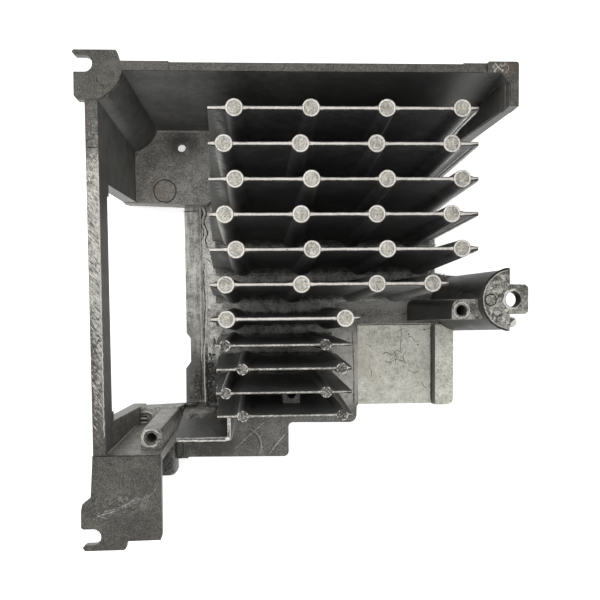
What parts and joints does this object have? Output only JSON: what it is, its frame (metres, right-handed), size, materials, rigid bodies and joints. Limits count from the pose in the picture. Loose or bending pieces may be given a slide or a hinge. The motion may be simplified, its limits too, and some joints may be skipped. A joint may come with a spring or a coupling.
{
  "type": "inverter heat sink",
  "caption": "Die-cast heat sink with long drafted fins swelling into round ejector pins, a deep L-shaped air wall, a side window under a bar, and corner feet with screw slots.",
  "frame": {"origin": "centre of the outline on the flat module face", "axes": "+Z from the module face to the fin tips and feet, +Y up the side wall across the fins, +X along the fins towards the single screw foot"},
  "size_m": [0.1566, 0.1704, 0.078],
  "materials": {
    "cast_aluminium": "as cast, matte grey, brighter where the die ejected and trimmed it"
  },
  "bodies": {
    "root": {"heat_sink": "cast_aluminium"}
  },
  "joints": []
}
